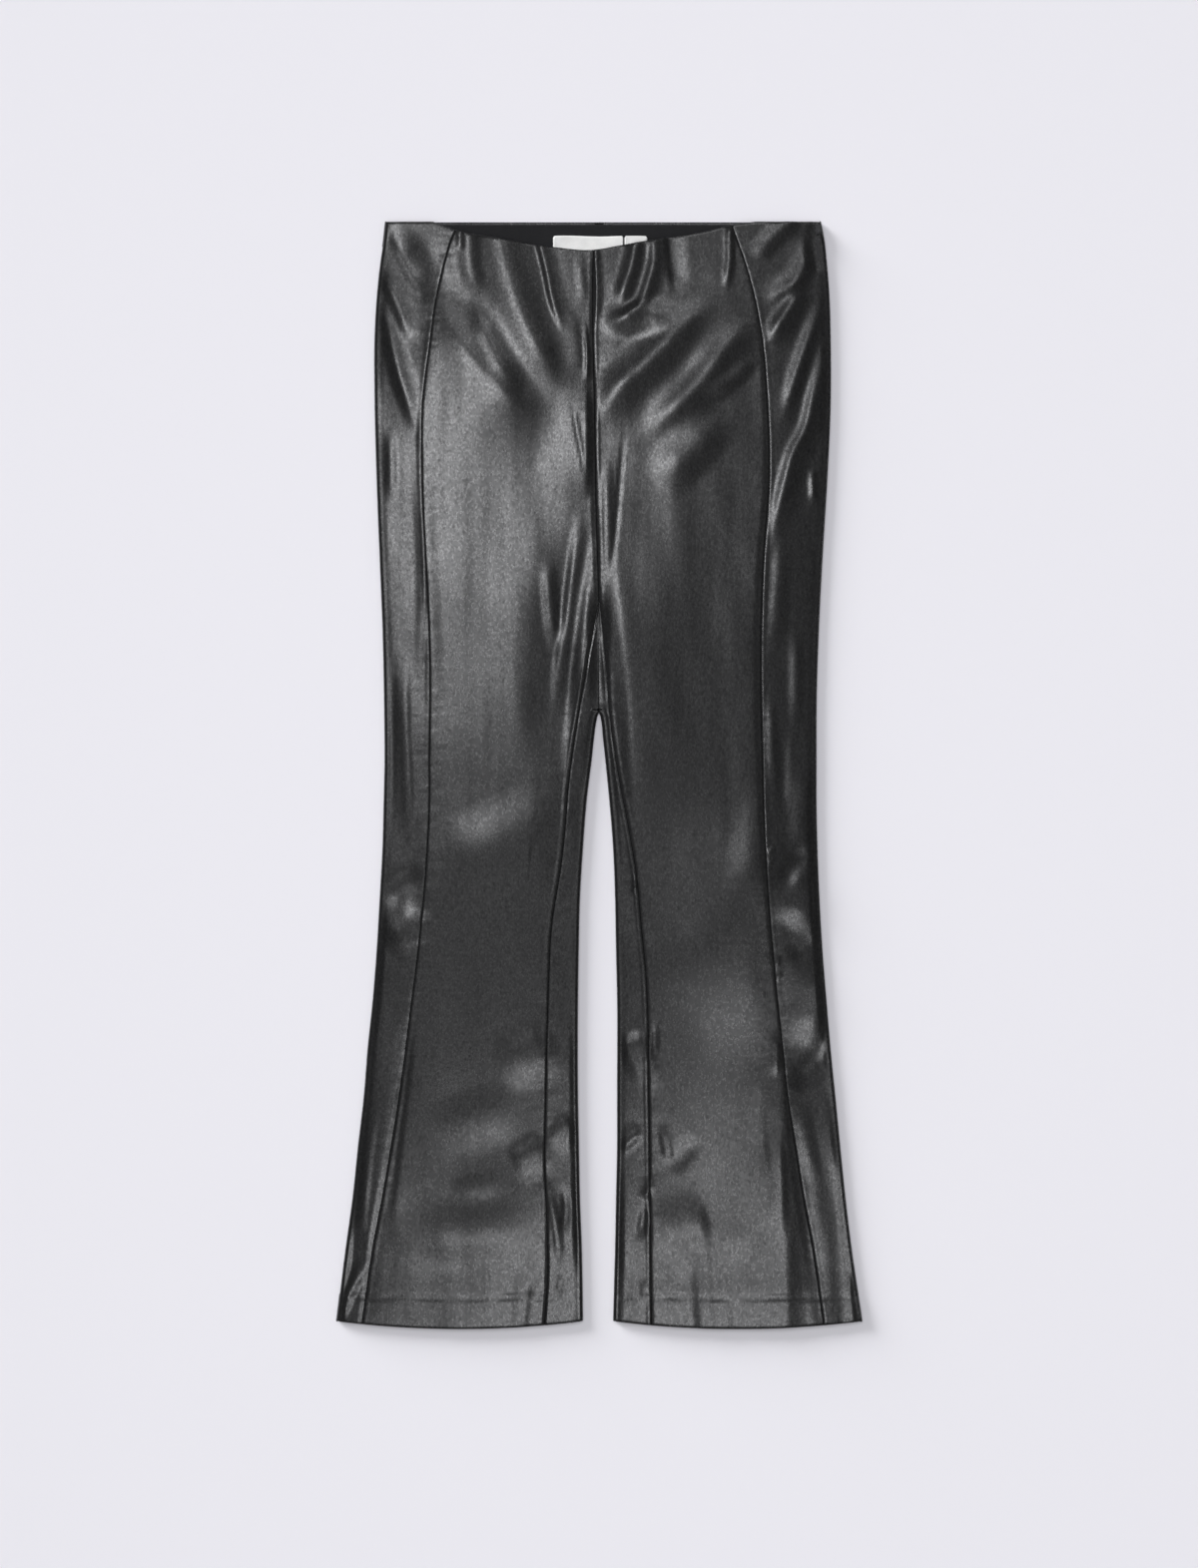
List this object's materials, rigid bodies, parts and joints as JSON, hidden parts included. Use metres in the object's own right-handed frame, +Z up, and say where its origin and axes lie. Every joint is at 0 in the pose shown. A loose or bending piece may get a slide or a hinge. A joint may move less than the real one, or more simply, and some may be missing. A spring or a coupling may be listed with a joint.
{
  "type": "faux leather flared leggings laid flat",
  "caption": "Black faux leather flared leggings laid flat, front up, with a dipped front waist, panel seams, flared hems and a concealed side zip with a pull tab.",
  "frame": {"origin": "on the surface the garment lies on, below the middle of its outline", "axes": "+X to the wearer's left, +Y along the length towards the waist, +Z up out of the front"},
  "size_m": [0.448, 0.9415, 0.01],
  "materials": {
    "faux_leather": "semi-matte coated cloth with a fine upright grain",
    "elastic": "matte woven elastic",
    "woven_white": "white woven label, bare",
    "zip_tape": "black woven zip chain",
    "zip_metal": "black lacquered metal"
  },
  "bodies": {
    "garment": {"front_centre_right": "faux_leather", "front_centre_left": "faux_leather", "front_side_right": "faux_leather", "front_side_left": "faux_leather", "back_right": "faux_leather", "back_left": "faux_leather", "waist_elastic": "elastic", "woven_label": "woven_white", "size_tab": "woven_white", "side_zip": "zip_tape", "zip_slider": "zip_metal"},
    "pull": {"zip_pull": "zip_metal"}
  },
  "joints": [
    {"name": "pull_tilt", "type": "hinge", "parent": "garment", "child": "pull", "pos_m": [0.186, 0.46215, 0.0078], "axis": [-1, 0, 0], "range_deg": [0, 170]}
  ]
}
